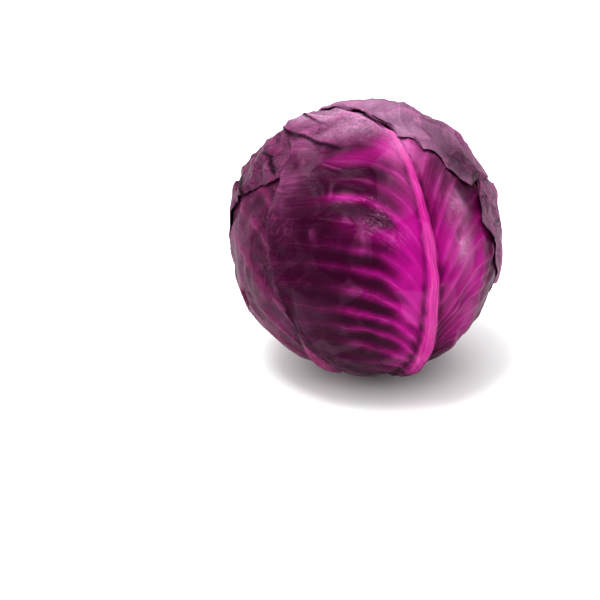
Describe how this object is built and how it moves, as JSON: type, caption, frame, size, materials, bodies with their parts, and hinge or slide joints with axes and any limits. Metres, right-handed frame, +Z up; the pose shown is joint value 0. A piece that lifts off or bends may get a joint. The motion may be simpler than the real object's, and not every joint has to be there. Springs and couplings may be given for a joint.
{
  "type": "red cabbage head",
  "caption": "Whole round red cabbage head: a packed heart closed in by overlapping veined wrapper leaves, standing on its cut stalk.",
  "frame": {"origin": "centre of the stalk's flat cut face, which is the spot that the head stands on", "axes": "+Z up through the crown of the head; -Y towards the side that the picture shows, with the thick midrib of the front leaf to the right of it; +X to the right of the picture"},
  "size_m": [0.1528, 0.151, 0.1546],
  "materials": {
    "stalk": "pale cut stalk, slightly dried, matt",
    "heart": "tightly packed purple inner leaves, satin",
    "back_leaf": "dark purple leaf with pink veins, satin",
    "left_leaf": "dark purple leaf with a pink side vein, satin",
    "right_leaf": "reddish purple leaf, satin",
    "shoulder_leaf": "crumpled greyish purple leaf, waxy",
    "front_leaf": "magenta leaf with a thick pink midrib, satin with a waxy sheen",
    "crown_leaf": "dusty mauve leaf with a waxy bloom and pink veins"
  },
  "bodies": {
    "root": {"stalk": "stalk", "heart": "heart", "back_leaf": "back_leaf", "left_leaf": "left_leaf", "right_leaf": "right_leaf", "shoulder_leaf": "shoulder_leaf", "front_leaf": "front_leaf", "crown_leaf": "crown_leaf"}
  },
  "joints": []
}
